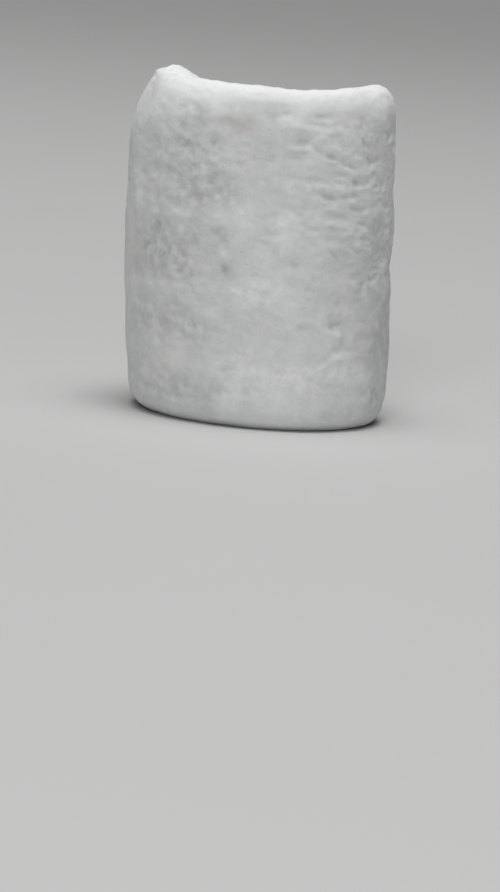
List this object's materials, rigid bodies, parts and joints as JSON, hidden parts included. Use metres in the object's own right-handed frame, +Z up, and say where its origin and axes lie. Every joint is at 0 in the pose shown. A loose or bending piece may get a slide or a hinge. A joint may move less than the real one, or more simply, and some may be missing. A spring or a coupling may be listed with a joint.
{
  "type": "marshmallow",
  "caption": "Soft white aerated sweet in an upright barrel shape, leaning a little, with a broad soft shoulder, an uneven lip round a shallow dished top, pressed creases and a flat foot.",
  "frame": {"origin": "on the plane of the flat foot, under the middle of the whole shape's box", "axes": "+Z up from the foot to the dished top; -Y is the front, +X is to the right seen from the front"},
  "size_m": [0.0284, 0.028, 0.0353],
  "materials": {
    "white_foam": "matte white sugar foam, dusted with starch"
  },
  "bodies": {
    "root": {"marshmallow": "white_foam"}
  },
  "joints": []
}
